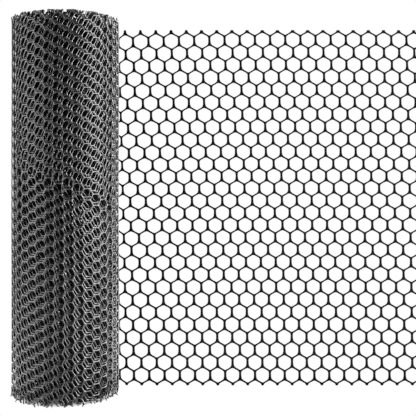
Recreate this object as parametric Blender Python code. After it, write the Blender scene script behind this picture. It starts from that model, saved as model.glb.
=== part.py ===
"""A roll of black plastic chicken wire that stands on end, with its loose end drawn out flat to the right.

The net is one long strip. Most of it is wound into the roll, which is a closed annular form here: the
outermost turn's hexagons are pressed into its wall, its outline is the spiral of that turn, and a groove
on its top follows the turns. The loose end leaves the spiral's step, bends back and runs straight. Its
hexagons are cut right through. Both forms carry the net at a coarser pitch than the real strands.
"""

import math

import bmesh
import bpy
from mathutils import Matrix, Vector

# Driving dimensions, in metres
ROLL_RADIUS = 0.0585  # of the outermost turn, where the loose end leaves it
ROLL_HEIGHT = 0.402
BORE_RADIUS = 0.025  # the open middle of the roll, which holds no tube
BORE_SEGMENTS = 32
TURN_PITCH = 0.003  # from one turn of the net to the next
LOOSE_HEIGHT = 0.395
LOOSE_REACH = 0.400  # from the roll's axis to the cut end
LOOSE_BEHIND = 0.0257  # the flat length stands this far behind the roll's axis
LOOSE_BEND = 0.034  # radius of the bend between the roll and the flat length
LOOSE_THICKNESS = 0.002
TOUCHING = 0.0003  # between two pieces that touch
SAME_PLACE = 0.00003  # points this near are one point

# The net on the roll has hexagons with level strands, in columns round the wall
WALL_COLUMNS = 20
WALL_ROWS = 20
WALL_STRAND = 0.0034
WALL_DEPTH = 0.0019
SLIVER_SHARE = 0.3  # the trim leaves smaller bits of hexagon than this at the step, and they stay plain

# The net of the loose end has hexagons with upright strands, in level rows
LOOSE_ROWS = 19
LOOSE_COLUMNS = 14.5
LOOSE_STRAND = 0.0028

# The groove that shows the turns on the roll's top
GROOVE_PITCH = 2 * TURN_PITCH
GROOVE_WIDTH = 0.0012
GROOVE_DEPTH = 0.004
GROOVE_STEPS_PER_TURN = 24
GROOVE_RIM = 0.0035  # solid left between the groove and the roll's wall or bore

# A hexagon of unit radius is this wide between flats, and its rows or columns lie this far apart
ACROSS_FLATS = math.sqrt(3)
ROW_STEP = 1.5

# The wound net leaves the roll here, on the back right
THICKNESS_CENTRE = ROLL_RADIUS - LOOSE_THICKNESS / 2
LEAVING_ANGLE = math.asin((LOOSE_BEHIND + LOOSE_BEND) / (THICKNESS_CENTRE + LOOSE_BEND))
BEND_CENTRE = (THICKNESS_CENTRE + LOOSE_BEND) * Vector((math.cos(LEAVING_ANGLE), math.sin(LEAVING_ANGLE)))
BEND_ANGLE = math.pi / 2 - LEAVING_ANGLE
BEND_LENGTH = LOOSE_BEND * BEND_ANGLE
LOOSE_LENGTH = BEND_LENGTH + LOOSE_REACH - BEND_CENTRE.x
TURN_LENGTH = 2 * math.pi * (ROLL_RADIUS - TURN_PITCH / 2)


def clear_scene():
    for old in list(bpy.data.objects):
        bpy.data.objects.remove(old)


def plastic(name, hex_colour, roughness):
    """A moulded polyethylene in one colour, given as sRGB hex."""
    material = bpy.data.materials.new(name)
    material.use_nodes = True
    shader = material.node_tree.nodes["Principled BSDF"]
    channels = [int(hex_colour[i : i + 2], 16) / 255 for i in (0, 2, 4)]
    linear = [c / 12.92 if c <= 0.04045 else ((c + 0.055) / 1.055) ** 2.4 for c in channels]
    shader.inputs["Base Color"].default_value = (*linear, 1.0)
    shader.inputs["Roughness"].default_value = roughness
    shader.inputs["Metallic"].default_value = 0.0
    return material


def roll_point(length):
    """The place on the outermost turn at this length past the leaving point, and the way out from it."""
    angle = LEAVING_ANGLE + 2 * math.pi * length / TURN_LENGTH
    outward = Vector((math.cos(angle), math.sin(angle)))
    return (ROLL_RADIUS - TURN_PITCH * length / TURN_LENGTH) * outward, outward


def loose_point(length):
    """The place on the loose end's middle surface. Lengths before the leaving point are negative."""
    run = -length
    if run <= BEND_LENGTH:
        turned = LEAVING_ANGLE + run / LOOSE_BEND
        outward = Vector((math.cos(turned), math.sin(turned)))
        return BEND_CENTRE - LOOSE_BEND * outward, outward
    return Vector((BEND_CENTRE.x + run - BEND_LENGTH, LOOSE_BEHIND)), Vector((0, 1))


def stand_up(bm, point_at):
    """Stands a net that was modelled flat in X and Y along its path: X is length, Y height, Z outward."""
    for vert in bm.verts:
        place, outward = point_at(vert.co.x)
        place = place + outward * vert.co.z
        vert.co = (place.x, place.y, vert.co.y)


def add_hexagon(bm, centre_x, centre_y, radius_x, radius_y, turn):
    shape = Matrix.Diagonal((radius_x, radius_y, 1, 1)) @ Matrix.Rotation(turn, 4, "Z")
    place = Matrix.Translation((centre_x, centre_y, 0))
    bmesh.ops.create_circle(bm, cap_ends=True, radius=1, segments=6, matrix=place @ shape)


def cut_off(bm, place, outward):
    """Trims the flat net at a straight line. A corner that lies on the line isn't cut again."""
    bmesh.ops.bisect_plane(
        bm,
        geom=bm.verts[:] + bm.edges[:] + bm.faces[:],
        dist=SAME_PLACE,
        plane_co=place,
        plane_no=outward,
        clear_outer=True,
    )


def boundary_edges(bm, wanted):
    return [edge for edge in bm.edges if edge.is_boundary and wanted(edge)]


def lies_at(edge, axis, value):
    return all(abs(vert.co[axis] - value) < SAME_PLACE for vert in edge.verts)


def new_verts(made):
    return [item for item in made["geom"] if isinstance(item, bmesh.types.BMVert)]


def level_hexagons():
    """The outermost turn laid flat: columns of hexagons with level strands, trimmed to its length and height."""
    bm = bmesh.new()
    column = TURN_LENGTH / WALL_COLUMNS
    row = ROLL_HEIGHT / WALL_ROWS
    for i in range(-1, WALL_COLUMNS + 1):
        shift = 0.5 * (i % 2)
        for j in range(WALL_ROWS + 1):
            place = ((i + 0.5) * column, (j + shift) * row)
            add_hexagon(bm, *place, column / ROW_STEP, row / ACROSS_FLATS, math.pi / 2)
    bmesh.ops.remove_doubles(bm, verts=bm.verts, dist=SAME_PLACE)
    cut_off(bm, (0, 0, 0), (-1, 0, 0))
    cut_off(bm, (TURN_LENGTH, 0, 0), (1, 0, 0))
    cut_off(bm, (0, 0, 0), (0, -1, 0))
    cut_off(bm, (0, ROLL_HEIGHT, 0), (0, 1, 0))
    long_rims = boundary_edges(bm, lambda e: e.calc_length() > 1.1 * column)
    bmesh.ops.subdivide_edges(bm, edges=long_rims, cuts=1)
    return bm


def upright_hexagons():
    """The loose end laid flat: whole rows of hexagons with upright strands, trimmed at both ends of the rows."""
    bm = bmesh.new()
    width = LOOSE_LENGTH / LOOSE_COLUMNS
    row = LOOSE_HEIGHT / (LOOSE_ROWS + 1 / 3)
    for j in range(LOOSE_ROWS):
        shift = 0.5 * (j % 2)
        for i in range(math.ceil(LOOSE_COLUMNS)):
            add_hexagon(bm, -(i + shift) * width, j * row, width / ACROSS_FLATS, row / ROW_STEP, 0)
    bmesh.ops.remove_doubles(bm, verts=bm.verts, dist=SAME_PLACE)
    cut_off(bm, (0, 0, 0), (1, 0, 0))
    cut_off(bm, (-LOOSE_LENGTH, 0, 0), (-1, 0, 0))
    return bm


def fit_flat(bm, low, high):
    """Moves and scales a flat net so that it fills the box from low to high."""
    for axis in range(3):
        values = [vert.co[axis] for vert in bm.verts]
        scale = (high[axis] - low[axis]) / (max(values) - min(values))
        for vert in bm.verts:
            vert.co[axis] = low[axis] + scale * (vert.co[axis] - min(values))


def close_step(bm, start_of_turn):
    """Walls the step where the loose end leaves: the start of the turn drops one turn pitch to meet its end."""
    made = bmesh.ops.extrude_edge_only(bm, edges=start_of_turn)
    for vert in new_verts(made):
        vert.co.xy = vert.co.xy.normalized() * (ROLL_RADIUS - TURN_PITCH)
    bmesh.ops.remove_doubles(bm, verts=bm.verts, dist=SAME_PLACE)


def add_bore(bm):
    corners = bmesh.ops.create_circle(bm, radius=BORE_RADIUS, segments=BORE_SEGMENTS)["verts"]
    circle = list({edge for vert in corners for edge in vert.link_edges})
    made = bmesh.ops.extrude_edge_only(bm, edges=circle)
    bmesh.ops.translate(bm, verts=new_verts(made), vec=(0, 0, ROLL_HEIGHT))


def to_object(name, bm, material):
    bmesh.ops.recalc_face_normals(bm, faces=bm.faces)
    if bm.calc_volume(signed=True) < 0:
        bmesh.ops.reverse_faces(bm, faces=bm.faces)
    mesh = bpy.data.meshes.new(name)
    bm.to_mesh(mesh)
    bm.free()
    mesh.materials.append(material)
    obj = bpy.data.objects.new(name, mesh)
    bpy.context.scene.collection.objects.link(obj)
    return obj


def make_roll(material):
    bm = level_hexagons()
    largest = max(face.calc_area() for face in bm.faces)
    cells = [face for face in bm.faces if face.calc_area() > SLIVER_SHARE * largest]
    bmesh.ops.inset_individual(
        bm, faces=cells, thickness=WALL_STRAND / 2, depth=-WALL_DEPTH, use_even_offset=True
    )
    start_of_turn = boundary_edges(bm, lambda e: lies_at(e, 0, 0))
    stand_up(bm, roll_point)
    close_step(bm, start_of_turn)
    add_bore(bm)
    for height in (0, ROLL_HEIGHT):
        rims = boundary_edges(bm, lambda e: lies_at(e, 2, height))
        bmesh.ops.triangle_fill(bm, edges=rims, use_beauty=True)
    roll = to_object("roll", bm, material)
    cut = roll.modifiers.new("turns", "BOOLEAN")
    cut.operation = "DIFFERENCE"
    cut.object = make_groove_cutter()
    return roll


def make_groove_cutter():
    """A thin spiral wall that stands in the roll's top, a rim's width in from the wall and from the bore."""
    outer = ROLL_RADIUS - TURN_PITCH - GROOVE_RIM
    inner = BORE_RADIUS + GROOVE_RIM
    steps = round(GROOVE_STEPS_PER_TURN * (outer - inner) / GROOVE_PITCH)
    one_step = Matrix.Rotation(2 * math.pi / GROOVE_STEPS_PER_TURN, 3, "Z")
    closer = GROOVE_PITCH / GROOVE_STEPS_PER_TURN
    bm = bmesh.new()
    bottom = ROLL_HEIGHT - GROOVE_DEPTH
    sides = (outer - GROOVE_WIDTH / 2, outer + GROOVE_WIDTH / 2)
    edge = bm.edges.new([bm.verts.new((side, 0, bottom)) for side in sides])
    for _ in range(steps):
        ends = new_verts(bmesh.ops.extrude_edge_only(bm, edges=[edge]))
        bmesh.ops.rotate(bm, verts=ends, cent=(0, 0, 0), matrix=one_step)
        for vert in ends:
            vert.co.xy = vert.co.xy - closer * vert.co.xy.normalized()
        edge = bm.edges.get(ends)
    made = bmesh.ops.extrude_face_region(bm, geom=bm.faces[:])
    bmesh.ops.translate(bm, verts=new_verts(made), vec=(0, 0, 2 * GROOVE_DEPTH))
    cutter = to_object("groove_cutter", bm, None)
    cutter.hide_render = True
    cutter.display_type = "WIRE"
    return cutter


def make_loose_end(material):
    bm = upright_hexagons()
    bmesh.ops.wireframe(
        bm,
        faces=bm.faces[:],
        thickness=LOOSE_STRAND,
        use_replace=True,
        use_boundary=True,
        use_even_offset=True,
    )
    half = LOOSE_THICKNESS / 2
    fit_flat(bm, (-LOOSE_LENGTH, 0, -half), (-TOUCHING, LOOSE_HEIGHT, half))
    stand_up(bm, loose_point)
    return to_object("loose_end", bm, material)


def centre_over_origin(objects):
    """Moves the roll and its loose end so that the middle of their footprint is at the origin."""
    bpy.context.view_layer.update()
    corners = [obj.matrix_world @ Vector(corner) for obj in objects for corner in obj.bound_box]
    middle_x = (min(c.x for c in corners) + max(c.x for c in corners)) / 2
    middle_y = (min(c.y for c in corners) + max(c.y for c in corners)) / 2
    for obj in bpy.data.objects:
        obj.location = (-middle_x, -middle_y, 0)
    print(f"roll axis at {-middle_x:.5f}, {-middle_y:.5f}")


clear_scene()
roll = make_roll(plastic("wound_polyethylene", "26272A", 0.38))
loose_end = make_loose_end(plastic("flat_polyethylene", "0B0B0C", 0.42))
centre_over_origin([roll, loose_end])
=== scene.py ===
# %% [markdown]
# # A roll of plastic chicken wire, with a flat length drawn out of it
#
# The object is one long strip of black polyethylene net. Most of the strip is wound into a roll of about
# eleven turns that stands on its cut edges, and the rest is drawn out flat to the right. The fixed frame
# holds two plain solids for it, `roll` and `loose_end`. Here both are replaced by the net itself, strand by
# strand, in the same place and at the same size. The frame is loaded first, because the net takes its place
# from the frame's flat solid.

import math

import bmesh
import bpy
import numpy as np
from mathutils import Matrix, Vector
from mathutils.geometry import intersect_line_line


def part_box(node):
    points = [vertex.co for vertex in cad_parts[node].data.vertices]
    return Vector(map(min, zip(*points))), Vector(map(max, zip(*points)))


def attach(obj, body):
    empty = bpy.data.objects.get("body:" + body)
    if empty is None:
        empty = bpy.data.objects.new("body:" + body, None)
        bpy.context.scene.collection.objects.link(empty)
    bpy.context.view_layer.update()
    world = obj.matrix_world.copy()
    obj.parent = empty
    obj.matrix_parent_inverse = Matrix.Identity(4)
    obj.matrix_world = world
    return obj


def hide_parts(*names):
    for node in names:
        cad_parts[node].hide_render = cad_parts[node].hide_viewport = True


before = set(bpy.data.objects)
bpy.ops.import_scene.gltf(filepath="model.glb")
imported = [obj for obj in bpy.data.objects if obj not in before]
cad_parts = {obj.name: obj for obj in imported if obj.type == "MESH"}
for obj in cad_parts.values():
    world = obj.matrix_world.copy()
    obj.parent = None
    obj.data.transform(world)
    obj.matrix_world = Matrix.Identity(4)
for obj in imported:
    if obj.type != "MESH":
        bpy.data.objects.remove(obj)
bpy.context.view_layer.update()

# %% [markdown]
# ## Where the roll stands
#
# The solids were drawn from a few sizes: the flat length reaches 400 mm from the roll's axis, it stands
# 25.7 mm behind that axis, and it leaves the outermost turn on a bend of 34 mm radius. The axis could be
# typed in as two numbers. It is worked out from the flat solid's box and these sizes instead, so that the
# net still meets its solids when the frame is packed anew.

# %% Find the roll's axis
MM = 0.001
LOOSE_REACH = 400 * MM  # from the roll's axis to the cut end
LOOSE_BEHIND = 25.7 * MM  # from the roll's axis back to the flat length
LOOSE_BEND = 34 * MM  # radius of the bend on which it leaves the roll
LOOSE_SOLID = 2 * MM  # thickness of its solid
LOOSE_HEIGHT = 395 * MM
ROLL_HEIGHT = 402 * MM

loose_low, loose_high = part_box("loose_end")
AXIS = Vector((loose_high.x - LOOSE_REACH, loose_low.y - LOOSE_BEHIND + LOOSE_SOLID / 2, 0))
print(f"roll's axis at x {AXIS.x:.4f}, y {AXIS.y:.4f}")

# %% [markdown]
# ## The spiral of the strip
#
# Seen from above, the wound strip is a spiral: each turn lies one pitch further in than the last. On a roll
# that is wound by hand the outer turns lie close and the inner ones have sprung loose, so the pitch grows
# towards the middle. A net keeps its length when it is wound, so places are wanted for a length along the
# strip. There is no short formula for that on such a spiral. Instead the lengths of many short arcs are
# added up once, and the table is read backwards.

# %% Lengths along the spiral
FIRST_RADIUS = 57.8 * MM  # of the outermost turn
LAST_RADIUS = 25.5 * MM  # of the innermost turn, round the open core
OUTER_PITCH = 2.0 * MM
INNER_PITCH = 4.0 * MM
ARC_COUNT = 4000

TURNS = 2 * (FIRST_RADIUS - LAST_RADIUS) / (OUTER_PITCH + INNER_PITCH)
ANGLES = np.linspace(0, 2 * math.pi * TURNS, ARC_COUNT)


def spiral_radius(angle):
    """The spiral closes in by a pitch that grows evenly from the outermost turn to the innermost."""
    turned = angle / (2 * math.pi)
    return FIRST_RADIUS - OUTER_PITCH * turned - (INNER_PITCH - OUTER_PITCH) * turned**2 / (2 * TURNS)


ARCS = (spiral_radius(ANGLES[1:]) + spiral_radius(ANGLES[:-1])) / 2 * np.diff(ANGLES)
LENGTHS = np.concatenate(([0], np.cumsum(ARCS)))


def turned_angle(length):
    """How far round the spiral a length of strip reaches, in radians."""
    return np.interp(length, LENGTHS, ANGLES)


print(f"wound strip {LENGTHS[-1]:.3f} m long, in {TURNS:.1f} turns")

# %% [markdown]
# ## The path from the flat length into the roll
#
# A length of zero is where the strip touches the roll. Positive lengths are wound, and negative ones are
# drawn out: first an arc that bends away from the roll, then a straight line. One function gives the place
# and the way out from the strip for a whole array of lengths, because some hundred thousand points have to
# be placed, and a loop over single points would be slow.

# %% The path, seen from above
LEAVING_ANGLE = math.asin((LOOSE_BEHIND + LOOSE_BEND) / (FIRST_RADIUS + LOOSE_BEND))
BEND_CENTRE = (FIRST_RADIUS + LOOSE_BEND) * np.array((math.cos(LEAVING_ANGLE), math.sin(LEAVING_ANGLE)))
BEND_LENGTH = LOOSE_BEND * (math.pi / 2 - LEAVING_ANGLE)
LEAVING_X = BEND_CENTRE[0] - BEND_LENGTH  # where length zero lies once the strip is laid out straight


def strip_path(length):
    """The strip's middle line (x, y from the roll's axis) and the way out from it, for many lengths."""
    turned = turned_angle(length)
    wound_out = np.stack((np.cos(LEAVING_ANGLE + turned), np.sin(LEAVING_ANGLE + turned)), 1)
    wound = spiral_radius(turned)[:, None] * wound_out

    run = np.clip(-length, 0, None)
    bent = LEAVING_ANGLE + np.clip(run, 0, BEND_LENGTH) / LOOSE_BEND
    loose_out = np.stack((np.cos(bent), np.sin(bent)), 1)
    loose = BEND_CENTRE - LOOSE_BEND * loose_out
    loose[:, 0] += np.clip(run - BEND_LENGTH, 0, None)

    on_roll = (length >= 0)[:, None]
    return np.where(on_roll, wound, loose), np.where(on_roll, wound_out, loose_out)


print(f"the strip leaves the roll {math.degrees(LEAVING_ANGLE):.1f} degrees behind its right side")

# %% [markdown]
# ## The outline and the hole of one hexagon
#
# The whole net repeats one cell: a hexagon with a rounded hole in it, and round the hole the inner half of
# each strand. The neighbours bring the other halves. Real strands aren't even. Upright ones widen towards
# their lower end, where they fork, and the web there is thick. So each side of the hole has its own half
# width at both ends, and each corner its own rounding. The sides of the hole are found by moving the
# hexagon's sides in, and its corners are where two of them cross, rounded with a short curve.

# %% Places round one hexagon
FORK = 0.3  # share of a side over which the outline's points fan out from a corner


def corner_places(width, height, on_its_side):
    """The six corners of a hexagon, counter-clockwise: it stands on a corner, or lies on a side."""
    turn = math.pi / 6 if on_its_side else 0
    angles = [math.pi / 2 - turn + k * math.pi / 3 for k in range(6)]
    across = 1 / math.cos(math.pi / 6)
    half_x = width / 2 if on_its_side else width / 2 * across
    half_y = height / 2 * across if on_its_side else height / 2
    return [Vector((half_x * math.cos(a), half_y * math.sin(a), 0)) for a in angles]


def side_line(start, end, half_at_start, half_at_end):
    """A side of the hexagon, moved in by half a strand at each end."""
    inward = Vector((start.y - end.y, end.x - start.x, 0)).normalized()
    return start + inward * half_at_start, end + inward * half_at_end


def round_places(corners, halves, roundings, points):
    """Two places for each point round the cell: on the hexagon's outline, and on the rounded hole's."""
    lines = [side_line(corners[k], corners[(k + 1) % 6], *halves[k]) for k in range(6)]
    crossings = [intersect_line_line(*lines[k - 1], *lines[k])[0] for k in range(6)]
    outline, hole = [], []
    for k in range(6):
        before, corner, after = crossings[k - 1], crossings[k], crossings[(k + 1) % 6]
        start = corner + (before - corner).normalized() * roundings[k]
        end = corner + (after - corner).normalized() * roundings[k]
        for step in range(points):
            t = step / (points - 1)
            hole.append(start * (1 - t) ** 2 + corner * 2 * t * (1 - t) + end * t**2)
            side = corners[k - 1] if t < 0.5 else corners[(k + 1) % 6]
            along = FORK * abs(2 * t - 1) if points > 2 else 0
            outline.append(corners[k].lerp(side, along))
    return outline, hole


TRIAL_STRAND = 1.4 * MM  # of one hexagon that the helpers are tried on
trial_corners = corner_places(15 * MM, 17 * MM, False)
trial_halves = [(TRIAL_STRAND / 2, TRIAL_STRAND / 2)] * 6
trial_roundings = [2 * MM] * 6
trial_outline, trial_hole = round_places(trial_corners, trial_halves, trial_roundings, 3)
print(f"trial hexagon {trial_outline[1].y * 1000:.1f} mm up, its hole {trial_hole[1].y * 1000:.1f} mm")

# %% [markdown]
# ## The half strands round one hole
#
# A strand of such a net is oval in section, because it is drawn through a die and laid flat while warm. The
# holes could be cut with Boolean modifiers, but that leaves flat strands with sharp edges. Here the cell is
# extruded instead: a circle of points lies on the hexagon's outline at the strand's crest, and is extruded
# ring by ring over half an oval, out to the hole and back under. A number stored on each point says which
# place round the cell it has. Extruded points inherit it, so each ring only has to be put at its height.

# %% The cell builder
SAME_POINT = 0.01 * MM


def make_cell(corners, halves, roundings, points, bands, thickness):
    """The half strands round one hole, lying flat, as a bmesh that is open at the hexagon's outline."""
    outline, hole = round_places(corners, halves, roundings, points)
    bm = bmesh.new()
    place = bm.verts.layers.int.new("place")
    ring = bmesh.ops.create_circle(bm, segments=6 * points, radius=1)["verts"]
    for number, vert in enumerate(ring):
        vert[place] = number
    edges = bm.edges[:]
    for band in range(bands + 1):
        angle = math.pi * band / bands
        for vert in ring:
            level = outline[vert[place]].lerp(hole[vert[place]], math.sin(angle))
            vert.co = (level.x, level.y, thickness / 2 * math.cos(angle))
        if band < bands:
            made = bmesh.ops.extrude_edge_only(bm, edges=edges)["geom"]
            ring = [item for item in made if isinstance(item, bmesh.types.BMVert)]
            edges = [item for item in made if isinstance(item, bmesh.types.BMEdge)]
            edges = [edge for edge in edges if edge.verts[0] in ring and edge.verts[1] in ring]
    bmesh.ops.remove_doubles(bm, verts=bm.verts, dist=SAME_POINT)
    return bm


trial = make_cell(trial_corners, trial_halves, trial_roundings, 3, 4, TRIAL_STRAND)
print(f"trial cell: {len(trial.verts)} points, {len(trial.faces)} faces")

# %% [markdown]
# ## Many hexagons
#
# A net is a lattice. Two neighbouring cells are repeated along both directions with two Array modifiers,
# which is far quicker than copying cells in a loop. Only then is the flat lattice shaped, by a function that
# takes all its points at once, and points that meet are merged into one skin.

# %% Repeat a cell into a lattice
SAME_PLACE = 0.03 * MM  # points closer than this become one


def points_of(mesh):
    """A mesh's points as an array with a row for each."""
    places = np.empty(len(mesh.vertices) * 3, np.float32)
    mesh.vertices.foreach_get("co", places)
    return places.reshape(-1, 3).astype(float)


def move_points(mesh, places):
    """Puts a mesh's points where the rows of the array say."""
    mesh.vertices.foreach_set("co", places.astype(np.float32).ravel())
    mesh.update()


def repeat(cell, neighbour, counts, steps, start, shape):
    """A cell and its neighbour, repeated along two directions, shaped, and merged into one skin."""
    copy = bmesh.ops.duplicate(cell, geom=cell.verts[:] + cell.edges[:] + cell.faces[:])["geom"]
    moved = [item for item in copy if isinstance(item, bmesh.types.BMVert)]
    bmesh.ops.translate(cell, verts=moved, vec=neighbour)
    pair = bpy.data.meshes.new("pair")
    cell.to_mesh(pair)
    cell.free()
    obj = bpy.data.objects.new("pair", pair)
    bpy.context.scene.collection.objects.link(obj)
    for count, step in zip(counts, steps):
        array = obj.modifiers.new("repeat", "ARRAY")
        array.use_relative_offset = False
        array.use_constant_offset = True
        array.constant_offset_displace = step
        array.count = count
    lattice = bpy.data.meshes.new_from_object(obj.evaluated_get(bpy.context.evaluated_depsgraph_get()))
    move_points(lattice, shape(points_of(lattice) + np.array(start)))
    bm = bmesh.new()
    bm.from_mesh(lattice)
    bpy.data.objects.remove(obj)
    bpy.data.meshes.remove(pair)
    bpy.data.meshes.remove(lattice)
    bmesh.ops.remove_doubles(bm, verts=bm.verts, dist=SAME_PLACE)
    return bm


print(f"points closer than {SAME_PLACE * 1000:.2f} mm become one")

# %% [markdown]
# ## Cut edges
#
# A maker cuts such a net to size with straight cuts, which leaves short stubs of strand along each edge. The
# same is done here. First the open outline of the lattice is walled up, by extruding its upper line down
# onto its lower one. Then `bisect_plane` cuts the net off at a plane, and each cut strand gets a face over
# its end, so that the net stays one closed skin.

# %% Wall up, trim and measure
ON_THE_CUT = 0.001 * MM  # a point this near to a cut is left on it


def wall_up(bm, thickness):
    """Closes the open outline of a lattice."""
    upper = [e for e in bm.edges if e.is_boundary and all(v.co.z > 0 for v in e.verts)]
    made = bmesh.ops.extrude_edge_only(bm, edges=upper)["geom"]
    lowered = [item for item in made if isinstance(item, bmesh.types.BMVert)]
    bmesh.ops.translate(bm, verts=lowered, vec=(0, 0, -thickness))
    bmesh.ops.remove_doubles(bm, verts=bm.verts, dist=SAME_PLACE)


def trim(bm, place, outward):
    """Cuts the flat net off at a straight line and closes the cut strands."""
    whole = bm.verts[:] + bm.edges[:] + bm.faces[:]
    cut = bmesh.ops.bisect_plane(
        bm, geom=whole, dist=ON_THE_CUT, plane_co=place, plane_no=outward, clear_outer=True
    )["geom_cut"]
    rim = [item for item in cut if isinstance(item, bmesh.types.BMEdge) and item.is_boundary]
    bmesh.ops.edgeloop_fill(bm, edges=rim)


def flat_area(bm):
    """The strands' own flat area: half of the skin, because the skin covers both sides."""
    return sum(face.calc_area() for face in bm.faces) / 2


wall_up(trial, TRIAL_STRAND)
trim(trial, (0, 0, 0), (0, 1, 0))
print(f"lower half of the trial cell: {flat_area(trial) * 1e6:.0f} square millimetres of strand")
trial.free()

# %% [markdown]
# ## From a flat net to a piece
#
# The flat net becomes an object at the origin, unturned and unscaled. Its points are then moved by the
# function that bends it into place, so its place is in its mesh. Strands are shaded smooth, apart from the
# sharp rims of their cut ends. The piece rides on the frame's one body, because nothing of it moves.

# %% Finish a net
SHARP_RIM = math.radians(75)


def finish_net(name, bm, bend):
    """Turns a flat net into an object, bends it into place and shades it."""
    bmesh.ops.recalc_face_normals(bm, faces=bm.faces)
    if bm.calc_volume(signed=True) < 0:
        bmesh.ops.reverse_faces(bm, faces=bm.faces)
    mesh = bpy.data.meshes.new(name)
    bm.to_mesh(mesh)
    bm.free()
    move_points(mesh, bend(points_of(mesh)))
    mesh.shade_smooth()
    mesh.set_sharp_from_angle(angle=SHARP_RIM)
    obj = bpy.data.objects.new(name, mesh)
    bpy.context.scene.collection.objects.link(obj)
    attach(obj, "root")
    return obj


def triangle_count(obj):
    """How many triangles a piece has, with each face cut into as few as it needs."""
    return sum(len(face.vertices) - 2 for face in obj.data.polygons)


print(f"rims sharper than {math.degrees(SHARP_RIM):.0f} degrees stay sharp")

# %% [markdown]
# ## The flat length: its hexagons
#
# Its hexagons stand on a corner, with upright strands. They are 16.8 mm wide, in 28 rows 13.8 mm apart. The
# strands are satin black, 1.5 mm thick, and a little fatter at the bottom than at the top. The half widths
# make each upright strand widen downwards into a thick fork, which is what tells extruded net from wire.

# %% Sizes of the flat length
SHEET_COLUMN = 16.77 * MM
SHEET_ROW = 13.766 * MM
SHEET_STRAND = 1.5 * MM
SHEET_ROWS = 28
SHEET_FIRST_X = 60.6 * MM  # centre of a hexagon in the top row, from the roll's axis
SHEET_FIRST_DROP = 12.2 * MM  # of the top row's centres below the top cut
SHEET_TUCK = 14 * MM  # of net that laps over the outermost turn
SHEET_LIFT = 1.5 * MM  # of that lap above the outermost turn
LIFT_RAMP = 12 * MM  # of strip before the roll, over which it lifts
SHEET_SWELL = 0.1 * MM  # by which the lowest strands are fatter than the highest, on each side
SHEET_POINTS, SHEET_BANDS = 3, 4  # points round each corner of a hole, and bands over half a strand

# Half widths of the strands at the start and end of each side, counter-clockwise from the top corner
SHEET_HALVES = MM * np.array((
    (0.79, 0.79),
    (1.14, 1.41),
    (0.92, 0.89),
    (0.79, 0.79),
    (1.41, 1.14),
    (0.89, 0.92),
))
# Rounding of the hole at the top, upper left, lower left, bottom, lower right and upper right corners
SHEET_ROUNDINGS = MM * np.array((1.8, 1.8, 2.5, 0.7, 2.5, 1.8))

print(f"{SHEET_ROWS} rows fill {SHEET_ROWS * SHEET_ROW * 1000:.0f} of {LOOSE_HEIGHT * 1000:.0f} mm")

# %% [markdown]
# ## The flat length: how it is drawn out
#
# A net that has been drawn out by hand isn't true. The columns lean to the right on their way down, the
# upper rows are pulled wider and sag upwards in the middle, and the lower ones crowd together, while the cut
# edges stay level. So the lattice is leaned and bowed before it is trimmed, which makes the stubs along the
# top long at the left and short towards the right. Each of these is one smooth function of the place: cheap,
# and easy to match. A cloth simulation would give folds, which a stiff net doesn't have.

# %% Shape and bend the flat length
LEAN, LEAN_EASING = 13.9 * MM, 3.9 * MM  # from top to bottom, and how much of it fades on the way
SPREAD, SPREAD_POWER = 3.0 * MM, 0.45  # of the upper rows towards the cut end, fastest near the roll
PULL, PULL_FULL = 0.95 * MM, 0.4  # of the columns to and fro, and the share of the way down to its full size
SAG_LEFT, SAG_RISE, SAG_FALL = 1.3 * MM, 9.2 * MM, 7.6 * MM  # of the upper rows
SAG_POWER = 0.7  # with which the sag fades on the way down
SAG_FROM = -0.3  # of the length: what lies further back is lapped over the roll and doesn't sag
CROWD, CROWD_FROM = 1.55 * MM, 0.35  # upwards, of the rows below this share of the way down


def sheet_shape(places):
    """Leans and bows the flat lattice. X is the reach from the roll's axis, and Y the height."""
    x, y = places[:, 0], places[:, 1]
    down = (LOOSE_HEIGHT - SHEET_FIRST_DROP - y) / (SHEET_ROW * (SHEET_ROWS - 1))
    along = (x - SHEET_FIRST_X) / (LOOSE_REACH - SHEET_FIRST_X)
    lean = LEAN * down - LEAN_EASING * down**2
    spread = SPREAD * (1 - down) * np.clip(along, 0, None) ** SPREAD_POWER
    pull = PULL * np.sin(2 * math.pi * np.clip(along, 0, 1)) * np.clip(down / PULL_FULL, 0, 1)
    sag = (SAG_RISE * along - SAG_LEFT - SAG_FALL * along**2) * np.clip(1 - down, 0, 1) ** SAG_POWER
    sag = np.where(along > SAG_FROM, sag, 0)
    crowd = CROWD * np.sin(math.pi * np.clip((down - CROWD_FROM) / (1 - CROWD_FROM), 0, 1))
    return np.stack((x + lean + spread + pull, y + crowd + sag, places[:, 2]), 1)


def sheet_bend(places):
    """Stands the flat net up along the strip's path. Its front is the side towards the viewer."""
    length = LEAVING_X - places[:, 0]
    lift = SHEET_LIFT * np.clip(1 + length / LIFT_RAMP, 0, 1)
    middle, outward = strip_path(length)
    level = middle + outward * (lift - places[:, 2])[:, None]
    return np.column_stack((level + np.array(AXIS.xy), places[:, 1]))


foot = np.array([[SHEET_FIRST_X, 0, 0]])
foot_lean = (sheet_shape(foot) - foot)[0, 0]
print(f"the foot of the first column is leaned {foot_lean * 1000:.1f} mm to the right")

# %% [markdown]
# ## The flat length: making it
#
# The lattice is laid out larger than the net, so that the four straight cuts all go through whole hexagons.
# It is fattened along its own normals, which keeps the strands oval. A net is mostly air, so its own area is
# measured before it is bent, and printed.

# %% Build the flat length
SPARE_CELLS = 3  # columns or rows more than the net needs, which the cuts take off again


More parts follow.
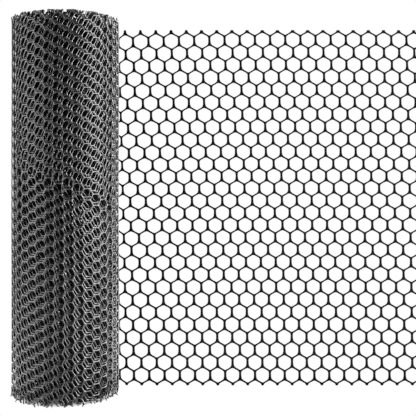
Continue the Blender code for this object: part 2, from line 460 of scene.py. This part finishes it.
def build_sheet():
    """The flat length, and the flat area of its strands."""
    corners = corner_places(SHEET_COLUMN, SHEET_ROW * 4 / 3, False)
    cell = make_cell(corners, SHEET_HALVES, SHEET_ROUNDINGS, SHEET_POINTS, SHEET_BANDS, SHEET_STRAND)
    columns = math.ceil((LOOSE_REACH - LEAVING_X + SHEET_TUCK) / SHEET_COLUMN) + SPARE_CELLS
    before_first = math.ceil((SHEET_FIRST_X - LEAVING_X + SHEET_TUCK) / SHEET_COLUMN) + 1
    left = SHEET_FIRST_X - SHEET_COLUMN * before_first
    bottom = LOOSE_HEIGHT - SHEET_FIRST_DROP - SHEET_ROW * SHEET_ROWS
    bm = repeat(
        cell,
        (SHEET_COLUMN / 2, SHEET_ROW, 0),
        (columns, SHEET_ROWS // 2 + 1),
        ((SHEET_COLUMN, 0, 0), (0, 2 * SHEET_ROW, 0)),
        (left, bottom, 0),
        sheet_shape,
    )
    wall_up(bm, SHEET_STRAND)
    bm.normal_update()
    for vert in bm.verts:
        vert.co += vert.normal * SHEET_SWELL * (1 - vert.co.y / LOOSE_HEIGHT)
    trim(bm, (LEAVING_X - SHEET_TUCK, 0, 0), (-1, 0, 0))
    trim(bm, (LOOSE_REACH, 0, 0), (1, 0, 0))
    trim(bm, (0, 0, 0), (0, -1, 0))
    trim(bm, (0, LOOSE_HEIGHT, 0), (0, 1, 0))
    area = flat_area(bm)
    return finish_net("flat_net", bm, sheet_bend), area


sheet, sheet_area = build_sheet()
print(f"flat net: {triangle_count(sheet)} triangles, {sheet_area * 1e4:.0f} square centimetres of strand")

# %% [markdown]
# ## The wound turns: their hexagons
#
# On the roll the hexagons lie on their side, with level strands, and are finer: 9.8 by 11.5 mm. Each turn is
# its own piece, which keeps pieces small enough to export. The outer turns have the roundest strands, and
# the inner ones, which only show through the holes, have fewer faces. Inner strands are also drawn a little
# wider, since the real roll is so dense that no light comes through it.

# %% Sizes of the wound turns
ROLL_COLUMN = 9.83 * MM
ROLL_STRAND = 1.3 * MM
ROLL_ROWS = 34
ROLL_STUB = 0.24  # of a row, at the top and bottom cut edge
ROLL_SPARE = 1.0 * MM  # left free at the top by the outermost turn; the others drift up past it
ROLL_ROW = (ROLL_HEIGHT - ROLL_SPARE) / (ROLL_ROWS + 0.5 + 2 * ROLL_STUB)
ROLL_ROUNDING = 1.5 * MM
PAIR = 2 * ROLL_COLUMN

FINE_TURNS = 4  # turns, from the outside, with strands of their true width
FINE_HALF = 0.57 * MM  # half width of a strand there
WIDE_HALF = 0.74 * MM  # and further in

ROLL_POINTS = 2  # round each corner of a hole
# For how many turns, from the outside, a strand has this many bands over its half section
BANDS = ((3, 4), (5, 3), (3, 2))

print(f"{ROLL_ROWS} rows {ROLL_ROW * 1000:.2f} mm apart, columns {ROLL_COLUMN * 1000:.2f} mm apart")

# %% [markdown]
# ## The wound turns: how they slip
#
# Where two nets lie over each other, their strands make a second, larger pattern: doubled strands where they
# nearly coincide, rings and dark dots where the one's strands cross the other's holes. On this roll the
# pattern runs down to the right in the upper part and up to the right in the lower part. It comes from how
# far each turn has slipped on the one outside it, and it can't be had from evenly wound turns. So each turn
# gets its own slip at the top and at the foot, tuned by eye, and the slip passes smoothly from one to the
# other. From turn to turn it changes at the back.

# %% Slip the wound turns
# Slip of each turn, from the outside, in millimetres: along and up at the top, along and up at the foot
SLIPS = MM * np.array((
    (0, 0, 0, 0),
    (-12, 3.5, -3.4, 1.6),
    (-10, 1.8, -1.7, 3.2),
    (-4.3, 0, 4.1, 4.8),
    (-4.4, 3.5, 4.2, 1.6),
    (-12.5, 1, -5.3, 3.2),
    (1, 5, -7, 1),
    (1, -1, -4, 4),
    (4, -1, -2, 0),
    (-8, -4, 2, 3),
    (-2, 5, -1, -2),
))
CHANGE = 0.33  # of a turn, at the back, over which the slip of one turn changes to that of the next
FOOT_PART, TOP_PART = 0.51, 0.61  # of the height, between which the foot's slip changes to the top's
TILT = 0.06  # of the height, by which that change lies lower on the right side and higher on the left
FRONT = 1.5 * math.pi - LEAVING_ANGLE  # how far round the spiral the roll's front lies
WANDER = 0.7 * MM  # of the columns to and fro
WANDER_ALONG, WANDER_UP = 41 * MM, 57 * MM  # its wave lengths, over two pi


def roll_shape(places):
    """Slips the flat lattice along and up, by the turn and the height."""
    turned = turned_angle(places[:, 0])
    turn = turned / (2 * math.pi)
    whole = np.floor(turn).astype(int)
    part = np.clip((turn - whole) / CHANGE, 0, 1)[:, None]
    slip = SLIPS[np.maximum(whole - 1, 0)] * (1 - part) + SLIPS[whole] * part
    level = places[:, 1] / ROLL_HEIGHT + TILT * np.sin(turned - FRONT)
    up = np.clip((level - FOOT_PART) / (TOP_PART - FOOT_PART), 0, 1)[:, None]
    up = up**2 * (3 - 2 * up)
    wander = WANDER * np.sin(places[:, 0] / WANDER_ALONG + places[:, 1] / WANDER_UP)
    places[:, :2] += slip[:, 2:] * (1 - up) + slip[:, :2] * up
    places[:, 0] += wander
    return places


print(f"slips for {len(SLIPS)} turns, the largest {np.abs(SLIPS).max() * 1000:.1f} mm")

# %% [markdown]
# ## The wound turns: how they lie
#
# A roll wound by hand is never a true cylinder. The turns drift up a little towards the core, so that each
# fills the gaps in the cut edge before it. The net waves in and out by a fraction of a millimetre, and the
# cut edges are bent every which way, which gives the rims their bristly look. All of that is added as the
# flat net is wound along the spiral, with sine waves whose lengths don't divide each other, so that no
# repeat shows.

# %% Wind the turns
WAVE = 0.35 * MM  # in and out, over the whole net
RIPPLE_ALONG, RIPPLE_UP = 19 * MM, 70 * MM  # lengths of the waves, over two pi
SWELL_ALONG, SWELL_UP = 200 * MM, 110 * MM  # and of the longer waves that make them rise and fade
RIM = 5 * MM  # height of the bristly edge at the top and at the foot
RIM_SIDE, RIM_OUT = 1.3 * MM, 2.2 * MM  # how far strand ends are bent there
RIM_SIDE_ALONG, RIM_SIDE_UP = 2.3 * MM, 111 * MM  # lengths of the waves that bend them, over two pi
RIM_OUT_ALONG, RIM_OUT_START = 4.1 * MM, 2
DRIFT, DRIFT_TURNS = 4.0 * MM, 6  # upwards, over this many turns from the outside


def roll_bend(places):
    """Winds the flat net along the spiral, with the waves, the drift and the bent ends of a real roll."""
    length, height = places[:, 0], places[:, 1]
    turn = turned_angle(length) / (2 * math.pi)
    drift = DRIFT * np.clip(turn / DRIFT_TURNS, 0, 1)
    ripple = np.sin(length / RIPPLE_ALONG + height / RIPPLE_UP)
    wave = WAVE * ripple * np.cos(length / SWELL_ALONG + height / SWELL_UP)
    from_middle = np.abs(height - ROLL_HEIGHT / 2)
    curl = (np.clip(from_middle - ROLL_HEIGHT / 2 + RIM, 0, None) / RIM) ** 2
    side = RIM_SIDE * curl * np.sin(length / RIM_SIDE_ALONG + height / RIM_SIDE_UP)
    out = RIM_OUT * curl * np.sin(length / RIM_OUT_ALONG + RIM_OUT_START)
    middle, outward = strip_path(length + side)
    level = middle + outward * (places[:, 2] + wave + out)[:, None]
    upright = np.clip(height + drift * height / ROLL_HEIGHT, 0, None)
    return np.column_stack((level + np.array(AXIS.xy), upright))


trial_length = 0.1  # along the outermost turn
trial_edges = np.array([[trial_length, 0, 0], [trial_length, ROLL_HEIGHT - ROLL_SPARE, 0]])
lowest, highest = roll_bend(trial_edges)[:, 2]
print(f"the outermost turn stands from {lowest * 1000:.1f} to {highest * 1000:.1f} mm")

# %% [markdown]
# ## The wound turns: making them
#
# The strip is cut into pieces at whole pairs of columns, so that each piece is one turn and the next goes on
# where it ends. All turns are built by one function, from the outermost to the innermost.

# %% Build the wound turns


def build_turn(number, first_pair, pairs, bands):
    """One turn of the roll, counted from the outside, and the flat area of its strands."""
    half = FINE_HALF if number < FINE_TURNS else WIDE_HALF
    corners = corner_places(ROLL_COLUMN * 4 / 3, ROLL_ROW, True)
    cell = make_cell(corners, [(half, half)] * 6, [ROLL_ROUNDING] * 6, ROLL_POINTS, bands, ROLL_STRAND)
    bm = repeat(
        cell,
        (ROLL_COLUMN, ROLL_ROW / 2, 0),
        (pairs, ROLL_ROWS + SPARE_CELLS),
        ((PAIR, 0, 0), (0, ROLL_ROW, 0)),
        (first_pair * PAIR + ROLL_COLUMN / 2, (ROLL_STUB - 0.5) * ROLL_ROW, 0),
        roll_shape,
    )
    wall_up(bm, ROLL_STRAND)
    trim(bm, (0, 0, 0), (0, -1, 0))
    trim(bm, (0, ROLL_HEIGHT - ROLL_SPARE, 0), (0, 1, 0))
    area = flat_area(bm)
    return finish_net(f"wound_net_{number + 1:02d}", bm, roll_bend), area


def pairs_by_turn():
    """The first pair of columns and the number of pairs of each turn."""
    last = int(LENGTHS[-1] / PAIR)
    turn_of = np.floor(turned_angle((np.arange(last) + 0.5) * PAIR) / (2 * math.pi)).astype(int)
    return [(int(np.argmax(turn_of == k)), int((turn_of == k).sum())) for k in range(turn_of.max() + 1)]


turns = []
turn_bands = [bands for count, bands in BANDS for _ in range(count)]
for number, (first_pair, pairs) in enumerate(pairs_by_turn()):
    turn, area = build_turn(number, first_pair, pairs, turn_bands[number])
    turns.append((turn, pairs * PAIR, area))
print(f"{len(turns)} turns, {sum(triangle_count(turn) for turn, _, _ in turns)} triangles")

# %% [markdown]
# ## Two helpers for materials
#
# Colours are written as sRGB hex values, as a colour picker shows them, but a shader works with linear
# light, so one function turns the one into the other. A second function adds a node with its settings and
# its links in one call, which keeps a material short enough to read.

# %% Colours and nodes


def srgb(hex_colour):
    """A linear RGBA colour from an sRGB hex value."""
    channels = [int(hex_colour[i : i + 2], 16) / 255 for i in (0, 2, 4)]
    return (*(c / 12.92 if c <= 0.04045 else ((c + 0.055) / 1.055) ** 2.4 for c in channels), 1)


def add_node(owner, kind, inputs=None, **settings):
    """Adds a node. An input is given as a value, or as the socket that it is linked from."""
    node = owner.node_tree.nodes.new(kind)
    for name, value in settings.items():
        setattr(node, name, value)
    for name, value in (inputs or {}).items():
        if isinstance(value, bpy.types.NodeSocket):
            owner.node_tree.links.new(value, node.inputs[name])
        else:
            node.inputs[name].default_value = value
    return node


print("mid grey 808080 is", round(srgb("808080")[0], 3), "in linear light")

# %% [markdown]
# ## Black polyethylene
#
# Such a net is extruded from polyethylene with a few percent of carbon black. It gives the eye a deep
# neutral black with a soft waxy sheen, never a mirror. Its IOR is about 1.5, and the roughness of such
# extrusions lies between 0.2 where the die has polished them and 0.6 where they were drawn out while warm.
# The pigment is uneven in patches as long as a few strands are wide, which changes the colour and the sheen
# together, so one noise drives both. Both patterns read Object coordinates: the net is a solid plastic, so
# they needn't follow its strands.

# %% The plastic
PIGMENT_PATCH, PIGMENT_DETAIL = 6 * MM, 3.0
DRAWN_GRAIN, GRAIN_DETAIL = 0.5 * MM, 2.0  # really under 0.1 mm, which is too fine to show here
GRAIN_DEPTH, GRAIN_STRENGTH = 0.1 * MM, 0.25
PLASTIC_IOR = 1.5
SMOOTHER, ROUGHER = 0.06, 0.08  # how far the roughness strays to either side


def polyethylene(name, dark, light, roughness, specular):
    """Extruded black polyethylene with uneven pigment, and a sheen that changes along the strand."""
    material = bpy.data.materials.new(name)
    material.use_nodes = True
    place = add_node(material, "ShaderNodeTexCoord").outputs["Object"]
    pigment = add_node(
        material,
        "ShaderNodeTexNoise",
        {"Vector": place, "Scale": 1 / PIGMENT_PATCH, "Detail": PIGMENT_DETAIL},
    ).outputs["Fac"]
    # A Mix node holds its sockets for numbers, vectors and colours side by side: 6, 7 and 2 are the colours
    colour = add_node(
        material, "ShaderNodeMix", {0: pigment, 6: srgb(dark), 7: srgb(light)}, data_type="RGBA"
    ).outputs[2]
    sheen = add_node(
        material,
        "ShaderNodeMapRange",
        {"Value": pigment, "To Min": roughness - SMOOTHER, "To Max": roughness + ROUGHER},
    ).outputs["Result"]
    grain = add_node(
        material,
        "ShaderNodeTexNoise",
        {"Vector": place, "Scale": 1 / DRAWN_GRAIN, "Detail": GRAIN_DETAIL},
    ).outputs["Fac"]
    bump = add_node(
        material,
        "ShaderNodeBump",
        {"Height": grain, "Strength": GRAIN_STRENGTH, "Distance": GRAIN_DEPTH},
    ).outputs["Normal"]
    shader = material.node_tree.nodes["Principled BSDF"]
    shader.inputs["IOR"].default_value = PLASTIC_IOR
    shader.inputs["Specular IOR Level"].default_value = specular
    for target, socket in (("Base Color", colour), ("Roughness", sheen), ("Normal", bump)):
        material.node_tree.links.new(socket, shader.inputs[target])
    return material


print(f"pigment patches {PIGMENT_PATCH * 1000:.0f} mm long, IOR {PLASTIC_IOR}")

# %% [markdown]
# ## Three finishes of it
#
# The flat length reads as plain satin black, with hardly a highlight. The three outermost turns of the roll
# are glossier, and every strand there carries a fine bright line. The turns further in lie in shade, and
# that shade is painted into their finish: a darker, duller copy of the same plastic. With the outer
# turns' gloss they would glitter through the holes and hide them.
# Each finish is given as a dark and a light colour, a roughness, and how strongly it mirrors.

# %% Make the finishes
flat_plastic = polyethylene("satin_extruded_polyethylene", "010101", "040404", 0.62, 0.03)
outer_plastic = polyethylene("glossy_extruded_polyethylene", "050506", "0A0A0B", 0.20, 0.55)
# Painted shade: the turns further in get a darker, duller copy of the plastic, because they lie in shade
shaded_inner_plastic = polyethylene("painted_shade_extruded_polyethylene", "040404", "090909", 0.45, 0.07)
print("finishes", [plastic.name for plastic in (flat_plastic, outer_plastic, shaded_inner_plastic)])

# %% [markdown]
# ## Each net's finish
#
# Each net takes its finish, and the frame's solid that it stands for is hidden. Most of the sheet that
# a net was cut from is air. The strands' own flat area was measured before they were bent.

# How many turns, from the outside, take the glossy finish; those further in take the one with painted shade
GLOSSY_TURNS = 3


def declare(solid):
    """Hides the frame's solid that a net stands for."""
    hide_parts(solid)


sheet.data.materials.append(flat_plastic)
declare("loose_end")
for number, (turn, length, area) in enumerate(turns):
    turn.data.materials.append(outer_plastic if number < GLOSSY_TURNS else shaded_inner_plastic)
    declare("roll")

# %% [markdown]
# ## Camera
#
# The camera stands level, about 0.85 m in front of the roll and to the right of it, so the flat length is
# seen face on and the roll a little from its right. Tilting it down would make upright strands lean towards
# each other. It looks straight ahead instead, and the frame is shifted down, as with a shift lens.

# %% Camera
PHOTO_SIDE = 416  # pixels
FOCAL_PIXELS = 786.2  # how many pixels of the picture one metre covers at one metre's distance
CAMERA_RIGHT = 152.95 * MM  # of the roll's axis
CAMERA_DISTANCE = 849 * MM
CAMERA_HEIGHT = 243 * MM
CAMERA_SHIFT = -0.099  # of the picture's side
SENSOR = 36  # millimetres, as camera settings have it

camera_data = bpy.data.cameras.new("camera")
camera_data.sensor_width = SENSOR
camera_data.lens = FOCAL_PIXELS / PHOTO_SIDE * SENSOR
camera_data.shift_y = CAMERA_SHIFT
camera = bpy.data.objects.new("camera", camera_data)
camera.location = AXIS + Vector((CAMERA_RIGHT, -CAMERA_DISTANCE, CAMERA_HEIGHT))
camera.rotation_euler = (math.pi / 2, 0, 0)
bpy.context.scene.collection.objects.link(camera)
bpy.context.scene.camera = camera
bpy.context.scene.view_settings.view_transform = "Standard"
print(f"camera lens {camera_data.lens:.1f} mm")

# %% [markdown]
# ## Floor
#
# The floor is plain white, as for a catalogue picture. It glows evenly instead of being lit, so that it is
# just as white as the surround and no edge shows between them. Under the roll the glow fades out in a ring:
# the turns stand so close there that hardly any light would reach the floor, and a floor that shone up
# through the core would brighten the inside of the net.

# %% Make the floor
FLOOR_HALF = 6.0
SHADED_TO, LIT_FROM = 40 * MM, 56 * MM  # from the roll's axis
SHADED_GLOW = 0.02

floor_bm = bmesh.new()
bmesh.ops.create_grid(floor_bm, x_segments=1, y_segments=1, size=FLOOR_HALF)
floor_mesh = bpy.data.meshes.new("floor")
floor_bm.to_mesh(floor_mesh)
floor_bm.free()
floor = bpy.data.objects.new("floor", floor_mesh)
bpy.context.scene.collection.objects.link(floor)

floor_glow_material = bpy.data.materials.new("white_floor_glow_with_painted_shadow")
floor_glow_material.use_nodes = True
floor_place = add_node(floor_glow_material, "ShaderNodeTexCoord").outputs["Object"]
from_axis = add_node(
    floor_glow_material, "ShaderNodeVectorMath", {0: floor_place, 1: AXIS}, operation="DISTANCE"
).outputs["Value"]
# Painted shadow: the floor's glow fades in a ring under the roll, where the turns would shade it
glow = add_node(
    floor_glow_material,
    "ShaderNodeMapRange",
    {"Value": from_axis, "From Min": SHADED_TO, "From Max": LIT_FROM, "To Min": SHADED_GLOW},
)
floor_shader = floor_glow_material.node_tree.nodes["Principled BSDF"]
floor_shader.inputs["Base Color"].default_value = srgb("000000")
floor_shader.inputs["Specular IOR Level"].default_value = 0
floor_shader.inputs["Roughness"].default_value = 1
floor_shader.inputs["Emission Color"].default_value = srgb("FFFFFF")
floor_glow_material.node_tree.links.new(glow.outputs["Result"], floor_shader.inputs["Emission Strength"])
floor_mesh.materials.append(floor_glow_material)
print(f"floor {2 * FLOOR_HALF:.0f} m square")

# %% [markdown]
# ## Surround
#
# The surround is as white as the floor to the camera, but dim to everything else. Black plastic shows hardly
# anything but what it mirrors. In an all white room each strand would turn an even grey, and the roll would
# lose its shape.

# %% Make the surround
SURROUND_GLOW = 0.02

world = bpy.data.worlds.new("surround")
world.use_nodes = True
bpy.context.scene.world = world
seen_by_camera = add_node(world, "ShaderNodeLightPath").outputs["Is Camera Ray"]
strength = add_node(
    world, "ShaderNodeMapRange", {"Value": seen_by_camera, "To Min": SURROUND_GLOW, "To Max": 1.0}
)
background = world.node_tree.nodes["Background"]
background.inputs["Color"].default_value = srgb("FFFFFF")
world.node_tree.links.new(strength.outputs["Result"], background.inputs["Strength"])
print("surround lights the net with", SURROUND_GLOW)

# %% [markdown]
# ## Studio lights
#
# A wound net is a cylinder of small round strands, so it mirrors the lights in upright bands. Two large soft
# boxes stand left and right of it and leave a gap in front, which gives two bright bands with a dark one
# between them. A third stands behind at the right and lights the far edge, and a fourth hangs above for the
# level strands and the rims. Three glowing boards lie on the floor beside and before the roll. They light
# the strands low on the roll, which mirror the floor and not the boxes.

# %% Light the net
LIGHTS = (
    # name, azimuth in degrees, distance and height in metres, (width, height), how bright it looks
    ("right_soft_box", 72, 1.1, 0.32, (0.9, 0.8), 25.5),
    ("left_soft_box", -67, 1.1, 0.3, (1.2, 0.8), 9.5),
    ("back_soft_box", 145, 1.2, 0.35, (1.0, 1.1), 5.5),
    ("top_soft_box", 10, 0.3, 1.6, (1.2, 0.8), 5.5),
    ("left_board", -60, 0.52, 0.01, (0.8, 0.8), 3.5),
    ("right_board", 92, 0.47, 0.01, (0.8, 0.8), 4.5),
    ("front_board", 20, 0.24, 0.004, (0.36, 0.36), 1.2),
)
BOARD_HEIGHT = 0.05  # what lies lower than this faces straight up


def around(azimuth, distance, height):
    """A place at an azimuth from the roll's axis, measured to the right from the front."""
    turn = math.radians(azimuth)
    return AXIS + Vector((math.sin(turn) * distance, -math.cos(turn) * distance, height))


def soft_light(name, azimuth, distance, height, size, radiance):
    """A soft box that faces the roll's middle, or a board that faces up. Its power follows from its size."""
    place = around(azimuth, distance, height)
    above = around(azimuth, distance, height + 1)
    target = above if height < BOARD_HEIGHT else around(0, 0, ROLL_HEIGHT / 2)
    data = bpy.data.lights.new(name, "AREA")
    data.shape = "RECTANGLE"
    data.size, data.size_y = size
    data.energy = radiance * math.pi * size[0] * size[1]
    light = bpy.data.objects.new(name, data)
    light.location = place
    light.rotation_euler = (target - place).to_track_quat("-Z", "Y").to_euler()
    light.visible_camera = False
    bpy.context.scene.collection.objects.link(light)
    return light


lights = [soft_light(*row) for row in LIGHTS]
print({light.name: round(light.data.energy, 1) for light in lights})
